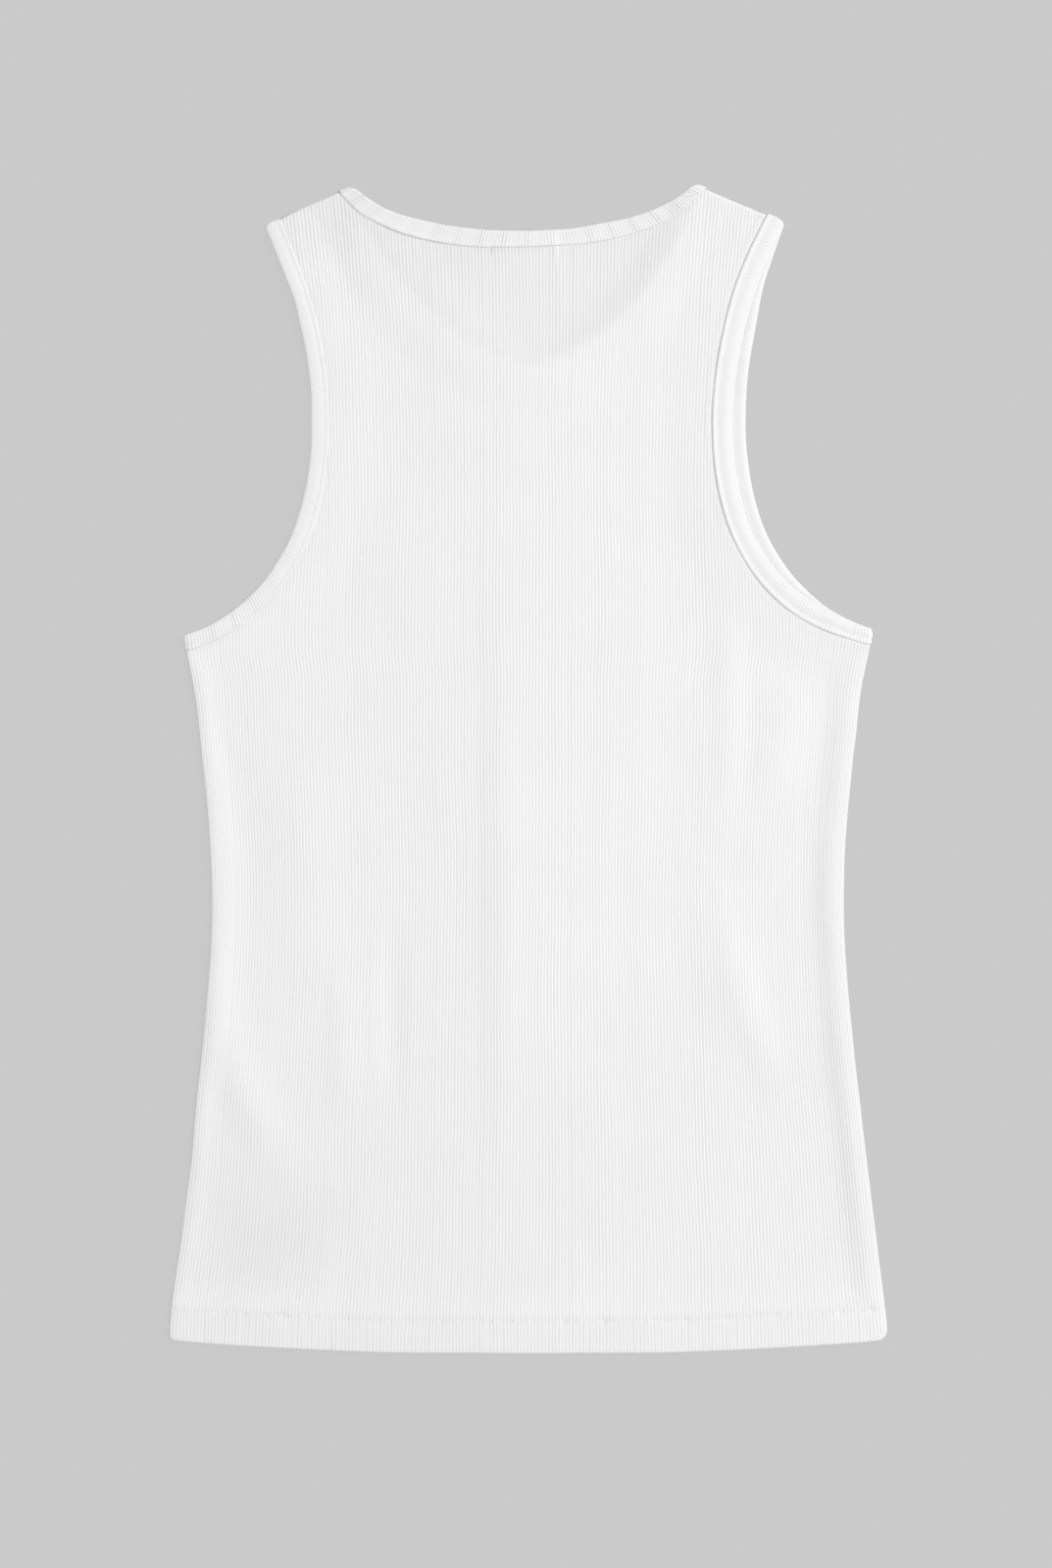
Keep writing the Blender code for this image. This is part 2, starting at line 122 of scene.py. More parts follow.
# Soft folds of the back
CREASES = (
    # points along the crest, half width, height
    (((-17, 130), (-16, 60), (-15, -90), (-16, -250)), 16, 0.7),
    (((-76, -80), (-77, -190)), 12, -0.85),
    (((-104, -110), (-103, -200)), 14, 0.7),
    (((-126, 10), (-125, -60), (-126, -135)), 27, 0.85),
    (((-174, -92), (-172, -135), (-166, -165), (-151, -198), (-124, -232)), 18, 1.6),
    (((-190, -205), (-195, -235), (-198, -275)), 48, -0.9),
    (((112, 112), (113, 40), (112, -42)), 15, 0.8),
    (((147, 62), (142, 14), (132, -30)), 24, 1.6),
    (((108, -64), (113, -100), (122, -134), (135, -170), (146, -200)), 15, 0.8),
    (((100, -60), (107, -100), (116, -134), (130, -172)), 27, 0.9),
    (((168, -28), (168, -98)), 13, 0.4),
    (((60, 150), (54, 20), (62, -60)), 26, 0.35),
    (((-60, 130), (-66, 30)), 24, 0.3),
    (((40, -150), (46, -290)), 24, 0.35),
)
# Puffed fold of the cloth at its side seams, by height: how high it stands and how far in it
# reaches. Its crest lies a few millimetres inside the edge, and it drops to the edge.
LEFT_CREST, RIGHT_CREST = 5.0, 7.0
LEFT_PUFF = (
    (-325, 0.0), (-290, 0.2), (-215, 0.8), (-146, 1.5), (-60, 2.3), (0, 1.7), (40, 0.9), (75, 0.8),
)  # fmt: skip
LEFT_SPREAD = (-325, 6.0), (-190, 6.0), (-146, 7.0), (-60, 10.0), (-20, 9.5), (14, 6.0), (75, 6.0)
LEFT_DROP = (-325, 0.7), (75, 0.7)
RIGHT_PUFF = (
    (-325, 0.0), (-303, 0.2), (-282, 1.5), (-215, 2.1), (-150, 2.1), (-90, 1.8), (22, 1.5),
    (48, 0.5), (75, 0.3),
)  # fmt: skip
RIGHT_SPREAD = (-325, 7.5), (75, 7.5)
RIGHT_DROP = (-325, 0.7), (-300, 1.0), (-215, 1.2), (-185, 1.8), (10, 1.8), (60, 1.1), (75, 1.1)

# Patches of painted light and painted shade over the folds, where the cloth is painted whiter (or
# less white) than the rest: place, size, how much
PAINTED_LIGHT_SPOTS = (
    ((-148, -262), (30, 34), -0.021),
    ((134, 15), (30, 48), 0.009),
    ((190, 52), (12, 16), 0.006),
    ((-146, -20), (16, 80), -0.007),
)
# Scales all the painted light and painted shade of shade() together
PAINTED_LIGHT_GAIN = 2.2  # how strong all the tones are together
SCOOP_SAG = 1.5  # how far the back sinks inside the scoop of the front
BAND_DROOP = 0.25  # how far the left armhole's band leans down


def smooth(t):
    t = np.clip(t, 0.0, 1.0)
    return t * t * (3 - 2 * t)


def eased(at, table):
    """Values that go smoothly from each (place, value) of a table to the next."""
    places, values = np.array(table, float).T
    k = np.clip(np.searchsorted(places, at, side="right") - 1, 0, len(places) - 2)
    share = smooth((at - places[k]) / (places[k + 1] - places[k]))
    return values[k] + (values[k + 1] - values[k]) * share


def sideways(x, y):
    """How far the neck and the straps lie off the middle line."""
    outward = smooth((np.abs(x) - NECK_POINT[0]) / (SHOULDER_TIP[0] - NECK_POINT[0]))
    shift = NECK_SHIFT + (TIP_SHIFT - NECK_SHIFT) * outward
    return shift * smooth((y - SHIFT_FROM_Y) / (TOP_Y - SHIFT_FROM_Y))


def lean(x, y):
    """The upper part lies a little to the left of the hem, and slightly turned. Its shoulder
    lines aren't quite straight, and the sides and the hem lie a little further out in places."""
    turned = TOP_TILT * smooth((y - TILT_FROM_Y) / TILT_RUN) * x
    share = (np.abs(x) - NECK_POINT[0]) / (SHOULDER_TIP[0] - NECK_POINT[0])
    bulge = np.where(x < 0, *SHOULDER_BULGE) * np.sin(np.pi * np.clip(share, 0, 1))
    tip = TIP_SPREAD * smooth((-x - 95) / 45) * smooth((y - 260) / 38)
    arm = ARM_SPREAD * smooth((x - 70) / 40) * np.exp(-(((y - 243) / 32) ** 2))
    out = np.where(x < 0, -eased(y, LEFT_OUT), eased(y, RIGHT_OUT))
    out = out * smooth((np.abs(x) - 70) / 110)
    drop = (0.1 + 0.8 * smooth((np.abs(x) - 25) / 60)) * smooth((-285 - y) / 30)
    moved = x + sideways(x, y) - tip + arm + out
    return moved, y + turned + bulge * smooth((y - 250) / 50) - drop


def bezier(start, pull, back_pull, end, steps=48):
    t = np.linspace(0, 1, steps + 1)[:, None]
    points = [np.array(p, float) for p in (start, pull, back_pull, end)]
    weights = ((1 - t) ** 3, 3 * t * (1 - t) ** 2, 3 * t * t * (1 - t), t**3)
    return sum(w * p for w, p in zip(weights, points))


def mirrored(line):
    return line[::-1] * (-1, 1)


def side_width(y):
    """Half the width between the side seams, a smooth curve through the rows of SIDE."""
    ys, ws = SIDE.T
    last = len(ys) - 1
    k = np.clip(np.searchsorted(ys, y, side="right") - 1, 0, last - 1)
    slope = [
        (ws[min(i + 1, last)] - ws[max(i - 1, 0)]) / (ys[min(i + 1, last)] - ys[max(i - 1, 0)])
        for i in range(last + 1)
    ]
    slope = np.array(slope)
    run = ys[k + 1] - ys[k]
    t = (y - ys[k]) / run
    inside = (
        ws[k] * (2 * t**3 - 3 * t**2 + 1)
        + slope[k] * run * (t**3 - 2 * t**2 + t)
        + ws[k + 1] * (3 * t**2 - 2 * t**3)
        + slope[k + 1] * run * (t**3 - t**2)
    )
    return inside


def corner_inset(y, share):
    """How far in the side lies at the hem's rounded corners."""
    corner = np.where(share < 0, *HEM_CORNER)
    near = np.clip(1 - (y - HEM_ROW) / corner, 0, 1)
    return corner * (1 - np.sqrt(1 - 0.95 * near * near))


def fanned(share, y):
    """Where a rib lies across: its share is -1 on the left side and 1 on the right one. Below
    the arms the ribs fan less than the sides do, so they crowd a little at a narrow waist."""
    wide = side_width(y)
    upright = RIB_UPRIGHT * (RIB_SPAN - wide) * smooth((UNDERARM_SEAM_END[1] - y) / 45)
    return share * (wide + upright * (1 - share**6) - corner_inset(y, share) * share**20)


def from_side(share, y):
    """How far a rib lies inside its side seam."""
    return side_width(y) - corner_inset(y, share) - np.abs(fanned(share, y))


def rib_place(share, y):
    """The same before the upper part is laid sideways, where the neck moves over it."""
    x = fanned(share, y)
    return x - sideways(x, y)


def armhole_edge(shape):
    """Finished edge of the right armhole, from the shoulder tip down to the underarm."""
    turn, shoulder_pull, pull_up, pull_down, underarm_pull = shape
    tip, turn, under = (np.array(p, float) for p in (SHOULDER_TIP, turn, UNDERARM))
    upper = bezier(tip, tip + shoulder_pull, turn + (0, pull_up), turn)
    lower = bezier(turn, turn - (0, pull_down), under + underarm_pull, under)
    return np.vstack([upper, lower[1:]])


def back_neck_edge():
    angles = math.asin(NECK_POINT[0] / BACK_NECK_HALF) * np.linspace(-1, 1, 97)
    rise = BACK_NECK_RISE * (1 - np.cos(angles))
    return np.stack([BACK_NECK_HALF * np.sin(angles), BACK_NECK_LOW + rise], 1)


def front_neck_edge():
    low = (0, FRONT_NECK_LOW)
    half = bezier(low, (SCOOP_BOTTOM_PULL, FRONT_NECK_LOW), SCOOP_SHOULDER_PULL, NECK_POINT)
    return np.vstack([mirrored(half)[:-1], half])


def offset(line, distance):
    """The line moved to its right-hand side."""
    before = np.vstack([line[:1], line[:-1]])
    after = np.vstack([line[1:], line[-1:]])
    along = after - before
    along /= np.linalg.norm(along, axis=1)[:, None]
    return line + distance * np.stack([along[:, 1], -along[:, 0]], 1)


def along_shoulder(from_neck):
    start, end = np.array(NECK_POINT), np.array(SHOULDER_TIP)
    return start + (end - start) * from_neck / np.linalg.norm(end - start)


SHOULDER_LENGTH = math.dist(NECK_POINT, SHOULDER_TIP)
SHOULDER_SLOPE = (SHOULDER_TIP[1] - NECK_POINT[1]) / (SHOULDER_TIP[0] - NECK_POINT[0])


def shoulder_height(x):
    return NECK_POINT[1] + (np.abs(x) - NECK_POINT[0]) * SHOULDER_SLOPE


UNDERARM_SEAM = math.dist(UNDERARM, UNDERARM_SEAM_END)


def neck_seam(edge, width=NECK_BAND, tuck=0.0):
    """Line at a distance below a neck edge that runs left to right; tuck moves it from the
    seam into the band. The distance may be a table that says it for each length."""
    if not isinstance(width, float):
        width = eased(line_lengths(edge), width)[:, None]
    inner = offset(edge, width - tuck)[3:-3]
    ends = np.stack([along_shoulder(np.ravel(width)[k] * 1.02) + (0, tuck) for k in (0, -1)])
    return np.vstack([ends[:1] * (-1, 1), inner, ends[1:]])


def armhole_seam(edge, width, tuck=0.0):
    """Line inside a right armhole edge; tuck moves it from the seam into the band."""
    share = np.linspace(0, 1, len(edge))
    taper = smooth((share - BAND_TAPER) / (1 - BAND_TAPER))
    inner = offset(edge, (width + (UNDERARM_SEAM - width) * taper - tuck)[:, None])[2:-2]
    start = along_shoulder(SHOULDER_LENGTH - width + tuck)
    return np.vstack([start, inner, UNDERARM_SEAM_END + np.array((0.1 * tuck, tuck))])


def line_lengths(line):
    steps = np.linalg.norm(np.diff(line, axis=0), axis=1)
    return np.concatenate([[0.0], np.cumsum(steps)])


def resampled(line, count):
    at = line_lengths(line)
    wanted = np.linspace(0, at[-1], count)
    return np.stack([np.interp(wanted, at, line[:, k]) for k in range(line.shape[1])], 1)


def distance_to(x, y, line):
    """(distance, length along the line, side) of points from a line. side is +1 on its right."""
    points = np.stack([np.ravel(x), np.ravel(y)], 1)
    start, step = line[:-1], np.diff(line, axis=0)
    lengths = line_lengths(line)
    square = (step**2).sum(1)
    best = np.full(len(points), 1e9)
    where = np.zeros(len(points))
    side = np.ones(len(points))
    for a, d, s, at in zip(start, step, square, lengths):
        away = points - a
        t = np.clip(away @ d / s, 0, 1)
        gap = away - t[:, None] * d
        found = np.hypot(gap[:, 0], gap[:, 1])
        nearer = found < best
        best = np.where(nearer, found, best)
        where = np.where(nearer, at + t * math.sqrt(s), where)
        side = np.where(nearer, np.sign(d[1] * away[:, 0] - d[0] * away[:, 1]), side)
    shape = np.shape(x)
    return best.reshape(shape), where.reshape(shape), side.reshape(shape)


# The back's neck band isn't the same all along: how far its edge lies inside the cut's line,
# and how wide it is from that line to its seam
NECK_WAVE = (0, -0.8), (25, 0.3), (50, -0.2), (95, -0.9), (130, -0.5), (170, 0.1), (206, 0.0)
NECK_WIDTH = (
    (0, 8.2), (16, 9.8), (40, 10.4), (82, 9.9), (85, 9.1), (114, 8.6), (134, 9.5), (165, 9.6),
    (206, 7.2),
)  # fmt: skip

NECK_LINE, FRONT_NECK = back_neck_edge(), front_neck_edge()
BACK_NECK = offset(NECK_LINE, eased(line_lengths(NECK_LINE), NECK_WAVE)[:, None])
BACK_NECK_SEAM = neck_seam(NECK_LINE, NECK_WIDTH)
SCOOP = np.stack(lean(FRONT_NECK[:, 0], FRONT_NECK[:, 1]), 1)
WIDE, NARROW = armhole_edge(ARMHOLE_WIDE), armhole_edge(ARMHOLE_NARROW)


def creases(x, y, table):
    """Height that the soft folds give at each point."""
    lift = np.zeros_like(x)
    for points, half, height in table:
        line = resampled(np.array(points, float), 14)
        away, at, _ = distance_to(x, y, line)
        total = line_lengths(line)[-1]
        ends = smooth(np.minimum(at, total - at) / (0.35 * total) + 0.05)
        lift += height * ends * np.cos(np.pi / 2 * np.clip(away / half, 0, 1)) ** 2
    return lift


def ripple(x, y, seed, amount, shortest, longest, waves=9):
    """A smooth uneven field of a few long waves, the same on each run."""
    rng = np.random.default_rng(seed)
    field = np.zeros_like(x)
    for _ in range(waves):
        turn = rng.uniform(0, math.pi)
        wave = rng.uniform(shortest, longest)
        phase = rng.uniform(0, 2 * math.pi)
        way = x * math.cos(turn) + y * math.sin(turn)
        field += np.sin(2 * math.pi * way / wave + phase)
    return field * amount / math.sqrt(waves)


def sag(x, y):
    """How far the back sinks where no front lies under it, inside the scoop of the front."""
    away, _, side = distance_to(x, y, FRONT_NECK)
    return SCOOP_SAG * smooth(-away * side / (14 + 16 * smooth(-x / 50)) - 0.05)


def droop(x, y):
    """How far the left armhole band leans down past the front's edge below it."""
    away, _, side = distance_to(x, y, mirrored(NARROW))
    return BAND_DROOP * smooth(-away * side / 9)


def scoop(x, y):
    """How far a finished place lies inside the front's neckline, as seen through the back."""
    away, _, side = distance_to(x, y, SCOOP)
    return -away * side


def spot(x, y, place, size):
    """1 at a place, falling away over its size across and along."""
    return np.exp(-(((x - place[0]) / size[0]) ** 2) - ((y - place[1]) / size[1]) ** 2)


def shade(x, y, up):
    """How white the cloth is painted at a finished place, as painted light and shade: painted
    light to the right, painted shade at the hem, at the lower left and where the back is one layer
    thick, patches of painted light and shade over folds, a dark painted tick where a tack pulls it
    in, and a painted highlight on the tack's pucker."""
    # Painted light towards the right, and painted shade lower down, most at the lower left
    low = smooth((-60 - y) / 220)
    spread = 25 + 45 * smooth((y - 90) / 60)
    right = 2 * smooth((x + spread) / (1.6 * spread)) - 1
    look = 0.006 * right * (1 - 0.5 * smooth((-90 - y) / 80)) - low * (0.0125 - 0.009 * x / 200)
    for place, size, amount in PAINTED_LIGHT_SPOTS:
        look += amount * spot(x, y, place, size)
    # Painted shade on the left strap near the shoulder
    look -= 0.014 * smooth((y - 275) / 35) * smooth((-85 - x) / 25)  # left strap
    # Painted shade along the hem below its stitches, turning to painted light at its right end
    look += (0.008 * smooth((x - 160) / 25) - 0.003) * smooth((STITCH_ROW - 1 - y) / 3)  # hem
    if up > 0:
        # Painted shade where the back lies in one layer over the floor inside the front's scoop,
        # and a darker painted crescent along its right and lower edge
        inside = scoop(x, y) + 3.0 + 1.5 * smooth(x / 60)
        shaded_crescent = smooth(inside / 3) * (1 - smooth((inside - 5) / 22)) * smooth((x + 50) / 90)
        look -= 0.027 * smooth(inside / 6) + 0.009 * shaded_crescent
        # More painted shade along the left strap, on the back only
        look -= 0.007 * np.exp(-(((x + 102) / 18) ** 2)) * smooth((y - 175) / 40)
        # Painted shade: a dark tick where the tack pulls the cloth in
        look -= 0.055 * spot(x, y, TACK_TICK, (0.8, 2.4))
    else:
        # Painted light on the right-hand part of the front and the bands
        look += 0.010 * smooth((x - 80) / 30)
    # A painted highlight on the tack's pucker
    look += 0.03 * spot(x, y, TACK_PUCKER, (1.1, 8))
    return 1 + PAINTED_LIGHT_GAIN * look


def tack_relief(x, y):
    """The tacks of the inside label show through below the neck: a tick and a pucker."""
    return 0.5 * spot(x, y, TACK_PUCKER, (1.5, 8.0)) - 0.35 * spot(x, y, TACK_TICK, (1.0, 3.0))


def needle_holes(x, which):
    """How clearly needle holes show beside the seam of the neck, right or left band."""
    neck = 0.25 + 0.75 * np.exp(-(((x + 12) / 30) ** 2))
    return np.choose(which, [neck, np.full_like(x, 0.7), np.full_like(x, 0.45)])


def rib_profile(phase):
    """Height across ribs, from 0 in the groove to 1: a broad rounded rib."""
    inside = np.abs((phase + 0.5) % 1.0 - 0.5) / 0.5
    return 1 - (1 - np.clip(inside / 0.62, 0, 1)) ** 2


def rolled(z, middle, from_edge, radius):
    """A surface that curves down to the level of the seam near its edge."""
    near = np.clip(1 - from_edge / radius, 0, 1)
    return middle + (z - middle) * np.sqrt(1 - near * near)


def crossing(heights, values, last=False):
    """For each row, the height where values first (or last) change from negative."""
    positive = values >= 0
    if last:
        positive = positive[:, ::-1]
        heights = heights[::-1]
        values = values[:, ::-1]
    k = np.clip(positive.argmax(1), 1, len(heights) - 1)
    i = np.arange(len(values))
    v0, v1 = values[i, k - 1], values[i, k]
    share = np.clip(v0 / np.where(v0 == v1, 1, v0 - v1), 0, 1)
    return heights[k - 1] + share * (heights[k] - heights[k - 1])


class Panel:
    """A panel of ribbed cloth on a grid whose columns follow the ribs."""

    def __init__(self, neck, neck_width, left_edge, right_edge, up):
        self.up = up
        self.neck = neck_seam(neck, neck_width, TUCK)
        self.left = armhole_seam(left_edge, LEFT_BAND, TUCK)
        self.right = armhole_seam(right_edge, RIGHT_BAND, TUCK)
        rng = np.random.default_rng(11 if up > 0 else 12)
        self.rib_height = 1 + 0.16 * rng.standard_normal(RIBS + 2)
        self.rib_phase = rng.uniform(0, 2 * math.pi, RIBS + 2)
        self.rib_wave = rng.uniform(15, 34, RIBS + 2)
        self.hem_shift = rng.uniform(-0.34, 0.34, RIBS + 2)

    def plan(self, share, row):
        """Plan position of points given by their share of the half width and their row."""
        x = rib_place(share, row)
        bend = smooth(1 - (row - HEM_ROW) / 150)
        y = row - HEM_RISE * bend * (1 - share * share)
        rib = np.clip((share + 1) / 2 * RIBS, 0, RIBS).astype(int)
        own = 0.07 * np.sin(row / self.rib_wave[rib] * 2 * math.pi + self.rib_phase[rib])
        own += self.hem_shift[rib] * smooth((STITCH_ROW + 2 - row) / 4)
        at_stitch = smooth(1 - np.abs(row - STITCH_ROW) / 9)
        shared = ripple(x, y, 31, 0.32, 45, 130) + 0.25 * at_stitch * np.sin(x / 13.0)
        shared -= HEM_LEAN * smooth((HEM_LEAN_FROM - row) / 40)
        return x + (own + shared) * (1 - np.abs(share) ** 10), y

    def top_of(self, x):
        """Height of the neck or shoulder line at a place across."""
        neck = np.interp(x, self.neck[:, 0], self.neck[:, 1], left=1e4, right=1e4)
        return np.minimum(neck, shoulder_height(x))

    def arm_reach(self, y, line):
        """How far out the cloth goes at a height, beside an armhole."""
        beside = np.interp(y, line[::-1, 1], line[::-1, 0])
        return np.where(y < line[-1, 1], side_width(y) + 5, beside)

    def from_seams(self, x, y):
        """(distance from the nearest band's seam, length along it, which: neck, right, left)"""
        lines = self.neck, self.right, mirrored(self.left)
        found = [distance_to(x, y, line)[:2] for line in lines]
        away = np.stack([f[0] for f in found]) - TUCK
        which = away.argmin(0)
        along = np.choose(which, [f[1] for f in found])
        return away.min(0), along, which

    def height(self, share, row, x, y, away, which, side=1.0):
        """Level of the outer face; side is -1 on the turned-up inside of the hem."""
        in_hem = 1 - smooth((row - STITCH_ROW) / HEM_RUN)
        phase = (share + 1) / 2 * RIBS
        rib = np.clip(phase, 0, RIBS).astype(int)
        groove = RIB_DEPTH * self.rib_height[rib] * (1 - rib_profile(phase))
        groove *= 1 + 0.3 * smooth((share - 0.9) / 0.1)
        groove *= 1 + 0.35 * smooth((y - 250) / 60) * (1 + smooth(-x / 90))
        stitch, lump = self.hem_relief(row, x, phase)
        if self.up > 0:
            rest = self.rest_above(x, y, away, in_hem)
            middle = 1.6 + 0.75 * in_hem
            z = rest + WALL + (HEM_WALL - WALL) * in_hem
            z += creases(x, y, CREASES) + ripple(x, y, 3, 0.16, 60, 170)
            beside = np.array(SEAM_RIDGE)[which] * np.exp(-(((away - 2.2) / 1.2) ** 2))
            z += beside + lump - stitch - groove
            z += self.edge_roll(share, row) + tack_relief(*lean(x, y))
            deep = np.array(SEAM_DEPTH)[which] * (1 - 0.5 * smooth((150 - y) / 60))
            mouth = rest + WALL - deep
            z = mouth + (z - mouth) * smooth((away + 0.3) / 0.7)
            inner, centre = rest + 0.2, rest + 1.1
        else:
            middle = 1.3 + 0.75 * in_hem
            z = creases(x, y, UNDER_CREASES) + groove + 0.3 * stitch
            z += 0.9 * np.exp(-(((away + 0.3) / 0.8) ** 2))
            inner, centre = np.full_like(z, 2.1), 1.15
        z = np.where(side < 0, inner, z)
        fold = np.clip((HEM_ROW + 1.1 - row) / 1.1, 0, 1)
        z = np.where(fold > 0, centre + (z - centre) * np.sqrt(1 - fold * fold), z)
        z = rolled(z, middle, from_side(share, row), 1.2)
        from_shoulder = np.where(np.abs(x) > 60, (shoulder_height(x) - y) * 0.91, 99.0)
        return rolled(z, 1.75, np.maximum(from_shoulder, 0), 1.8)

    def hem_relief(self, row, x, phase):
        """(how deep the hem's stitches pull the cloth in, how high it puffs beside them)"""
        off = row - STITCH_ROW
        stitch = (0.13 + 0.09 * np.sin(phase * 2.1)) * np.exp(-((off / 0.9) ** 2))
        stitch += 0.12 * ripple(x, x * 0, 5, 1.0, 14, 60) * np.exp(-((off / 2.5) ** 2))
        for place, depth in HEM_DIMPLES:
            stitch += depth * np.exp(-(((x - place) / 3.2) ** 2) - ((off + 0.5) / 2.2) ** 2)
        lump = 0.12 * np.exp(-(((off - 3.2) / 1.8) ** 2))
        lump += 0.15 * np.exp(-(((off + 8) / 6.0) ** 2))
        return stitch, lump

    def rest_above(self, x, y, away, in_hem):
        """Level on which the back lies: the front, its bands and hem, or a hollow."""
        neck, _, side = distance_to(x, y, FRONT_NECK)
        over_neck = 1 - smooth((neck - NECK_BAND) / 22)
        arm = distance_to(x, y, mirrored(NARROW))[0]
        over_arm = 1 - smooth((arm - LEFT_BAND) / 24)
        over_seam = 1 - smooth((away - 4) / 26)
        over = np.maximum.reduce([over_neck, over_arm, over_seam, in_hem])
        over = np.where(side < 0, 1.0, over)
        return REST_BODY + (REST_BANDS - REST_BODY) * over - sag(x, y)

    def edge_roll(self, share, row):
        """The cloth turns over at the side seams in a soft, puffed fold."""
        inside = from_side(share, row)
        body = smooth((75 - row) / 20)
        folds = (
            (LEFT_CREST, LEFT_PUFF, LEFT_SPREAD, LEFT_DROP),
            (RIGHT_CREST, RIGHT_PUFF, RIGHT_SPREAD, RIGHT_DROP),
        )
        lift = []
        for crest, *tables in folds:
            puff, spread, drop = (eased(row, table) for table in tables)
            beyond = np.maximum(inside - crest, 0) / spread
            outer = np.clip(1 - inside / crest, 0, 1)
            lift.append(puff * np.exp(-(beyond**2)) - drop * outer**1.8)
        return body * np.where(share < 0, *lift)

    def build(self, name, material):
        columns = RIBS * RIB_STEPS + 1
        share = np.linspace(-1, 1, columns)
        heights = np.linspace(58, 336, 1700)
        across = rib_place(share[:, None], heights[None, :])
        reach = np.where(
            across >= 0,
            self.arm_reach(heights, self.right)[None, :],
            self.arm_reach(heights, self.left)[None, :],
        )
        above = heights[None, :] - self.top_of(across)
        outside = np.where(above > 0, -1.0, np.abs(across) - reach)
        outer = (outside >= 0).any(1)
        low = np.where(outer, crossing(heights, outside), TURN_Y)
        high = np.where(outer, crossing(heights, outside, last=True), TURN_Y)
        top = crossing(heights, above)
        winged = ~outer | (high < top - 0.3)

        rows0 = np.concatenate([FLAP_ROWS, HEM_ROWS, np.linspace(-278, 0, 36)])
        rows1 = low[None, :] * np.array(ZONE_1)[:, None]
        rows2 = high[None, :] + (top - high)[None, :] * np.array(ZONE_2)[:, None]
        rows = np.vstack([np.tile(rows0[:, None], columns), rows1, rows2])
        side = np.ones(len(rows))
        side[: len(FLAP_ROWS)] = -1
        shares = np.tile(share, (len(rows), 1))
        x, y = self.plan(shares, rows)
        away, along, which = self.from_seams(x, y)
        z = self.height(shares, rows, x, y, away, which, side[:, None])
        px, py = lean(x, y)
        points = np.stack([px, py, z], -1).reshape(-1, 3)

        number = np.arange(rows.size).reshape(rows.shape)
        first2 = len(rows0) + len(rows1)
        number[first2, ~outer] = number[first2 - 1, ~outer]
        keep = np.ones((len(rows) - 1, columns - 1), bool)
        keep[first2 - 1] = False
        keep[first2:] = winged[:-1] & winged[1:]
        corners = number[:-1, :-1], number[:-1, 1:], number[1:, 1:], number[1:, :-1]
        faces = np.stack([q[keep] for q in corners[:: self.up]], 1)
        cloth = {
            "seam": away,
            "along": along,
            "needle": needle_holes(px, which) if self.up > 0 else np.zeros_like(px),
            "shade": shade(px, py, self.up),
        }
        uv = np.stack([(shares + 1) / 2 * RIBS, rows], -1)
        return cloth_object(name, points, faces, uv, cloth, material)


# Heights of the mesh's rows on the hem's turned-up inside and across the hem
FLAP_ROWS = [-304.0, -312, -318.6, -319.3, -319.8]
HEM_ROWS = [
    -320.0, -319.8, -319.4, -318.8, -317.6, -316, -313.5, -310.5, -307.5, -305.2, -303.6, -302.9,
    -302.4, -302, -301.6, -301.1, -300.4, -299, -297, -293.5, -289.5, -284.5,
]  # fmt: skip
# Shares of the way to the armhole's low end, and from its high end to the top
ZONE_1 = [0.04 + 0.04 * i for i in range(22)]
ZONE_1 += [0.905, 0.93, 0.95, 0.965, 0.977, 0.986, 0.993, 1.0]
ZONE_2 = [0.0, 0.012, 0.028, 0.05, 0.08, 0.12]
ZONE_2 += [0.12 + 0.053 * i for i in range(1, 14)]
ZONE_2 += [0.855, 0.89, 0.918, 0.94, 0.957, 0.97, 0.979, 0.986, 0.991, 0.9955, 1.0]

# Shallow hollows where the front doesn't quite touch the floor
UNDER_CREASES = (
    # points along the hollow, half width, height
    (((-60, 150), (-70, -120)), 30, 0.5),
    (((40, 60), (70, -200)), 34, 0.6),
    (((130, -20), (120, -240)), 22, 0.45),
    (((-140, -60), (-130, -260)), 26, 0.5),
    (((-20, 120), (10, 190)), 26, 0.35),
)


def cloth_object(name, points, faces, uv, cloth, material):
    """A smooth mesh object of points in mm, with values for its material, among them the painted
    light and shade of the cloth.
    """
    used = np.unique(faces)
    index = np.full(len(points), -1)
    index[used] = np.arange(len(used))
    points = points[used] * MM
    points[:, 2] = np.maximum(points[:, 2], 0)
    faces = index[faces]
    mesh = bpy.data.meshes.new(name)
    mesh.from_pydata(points.tolist(), [], faces.tolist())
    mesh.update()
    layer = mesh.uv_layers.new(name="cloth")
    loops = np.zeros(len(mesh.loops), np.int32)
    mesh.loops.foreach_get("vertex_index", loops)
    uv = uv.reshape(-1, 2)[used]
    layer.data.foreach_set("uv", (uv[loops] * UV_SCALE).ravel().astype(np.float32))
    for key, values in cloth.items():
        attribute = mesh.attributes.new(key, "FLOAT", "POINT")
        attribute.data.foreach_set("value", np.ravel(values)[used].astype(np.float32))
    mesh.shade_smooth()
    made = bpy.data.objects.new(name, mesh)
    bpy.context.scene.collection.objects.link(made)
    mesh.materials.append(material)
    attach(made, "root")
    return made


